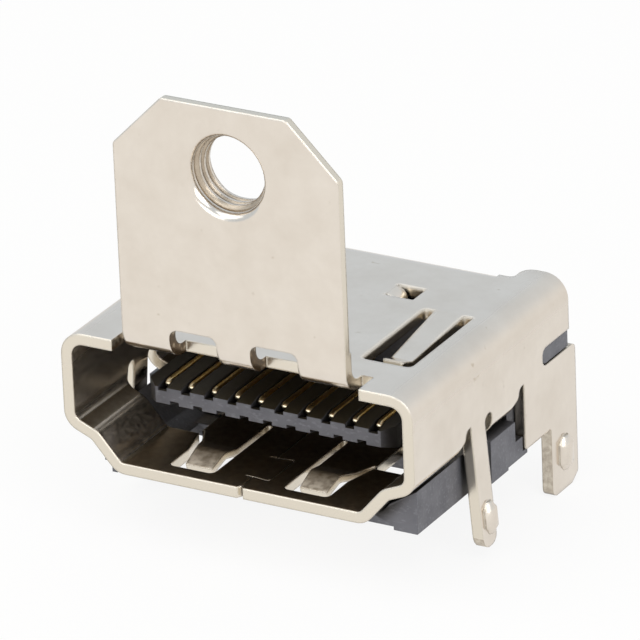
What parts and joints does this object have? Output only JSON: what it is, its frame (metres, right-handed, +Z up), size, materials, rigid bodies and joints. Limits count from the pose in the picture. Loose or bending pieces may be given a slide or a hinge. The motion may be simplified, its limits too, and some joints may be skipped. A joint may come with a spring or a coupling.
{
  "type": "audio-video board socket",
  "caption": "Right-angle board socket for an audio-video plug: folded metal shell with a raised screw flange, board legs, a moulded contact tongue and gold-plated contacts.",
  "frame": {"origin": "on the board's face, under the middle of the mouth's front edge", "axes": "+X across the mouth, to the right as seen from the plug's side; +Y from the mouth to the tails; +Z up from the board along the flange"},
  "size_m": [0.0162, 0.0126, 0.0187],
  "materials": {
    "shell_sheet": "stamped sheet, bright nickel plating with a warm tint",
    "housing_plastic": "moulded dark slate-grey glass-filled plastic, satin",
    "base_plastic": "moulded dark slate-grey glass-filled plastic, satin",
    "contact_gold": "stamped strip, gold plated"
  },
  "bodies": {
    "root": {"shell": "shell_sheet", "housing": "housing_plastic", "base": "base_plastic", "upper_contact_01": "contact_gold", "upper_contact_02": "contact_gold", "upper_contact_03": "contact_gold", "upper_contact_04": "contact_gold", "upper_contact_05": "contact_gold", "upper_contact_06": "contact_gold", "upper_contact_07": "contact_gold", "upper_contact_08": "contact_gold", "upper_contact_09": "contact_gold", "upper_contact_10": "contact_gold", "lower_contact_01": "contact_gold", "lower_contact_02": "contact_gold", "lower_contact_03": "contact_gold", "lower_contact_04": "contact_gold", "lower_contact_05": "contact_gold", "lower_contact_06": "contact_gold", "lower_contact_07": "contact_gold", "lower_contact_08": "contact_gold", "lower_contact_09": "contact_gold"}
  },
  "joints": []
}
